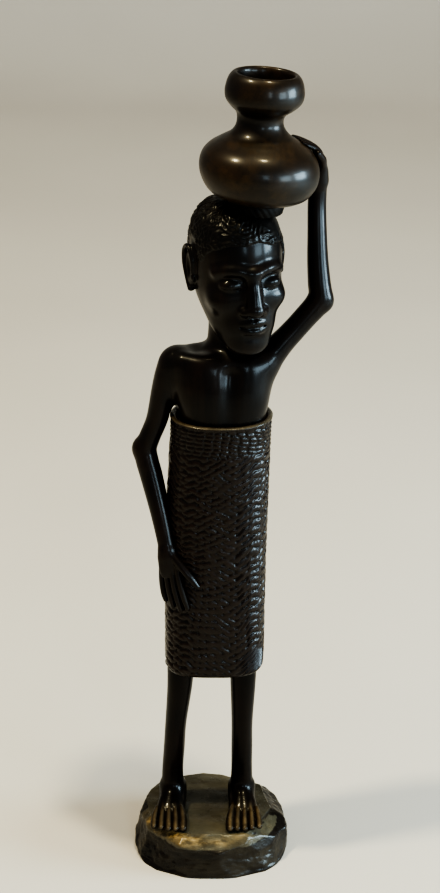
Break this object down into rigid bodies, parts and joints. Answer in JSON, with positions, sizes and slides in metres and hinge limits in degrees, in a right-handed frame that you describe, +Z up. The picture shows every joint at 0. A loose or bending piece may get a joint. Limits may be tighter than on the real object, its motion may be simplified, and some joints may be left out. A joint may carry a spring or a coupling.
{
  "type": "carved standing figure with a pot on its head",
  "caption": "Standing carved ebony figure on a plinth, wrapped in a carved cloth, with one raised hand steadying a pot balanced on its head.",
  "frame": {"origin": "middle of the plinth's resting face", "axes": "+Z up from the plinth to the pot; -Y the figure's front; +X the figure's left, the side of the raised arm"},
  "size_m": [0.0856, 0.0636, 0.3611],
  "materials": {
    "polished_ebony": "hand polished, waxed, with faint brown streaks",
    "gouged_ebony": "rows of small gouge cuts, satin",
    "adzed_plinth": "rough faceted cuts, worn at the edges",
    "ring_wood": "matt",
    "peg_wood": "turned, unfinished"
  },
  "bodies": {
    "root": {"plinth": "adzed_plinth", "right_leg": "polished_ebony", "left_leg": "polished_ebony", "foot_pegs": "peg_wood", "wrap": "gouged_ebony", "torso": "polished_ebony", "right_arm": "polished_ebony", "left_arm": "polished_ebony", "shoulder_pegs": "peg_wood", "head": "polished_ebony", "neck_peg": "peg_wood", "head_ring": "ring_wood", "pot": "polished_ebony", "pot_peg": "peg_wood"}
  },
  "joints": []
}
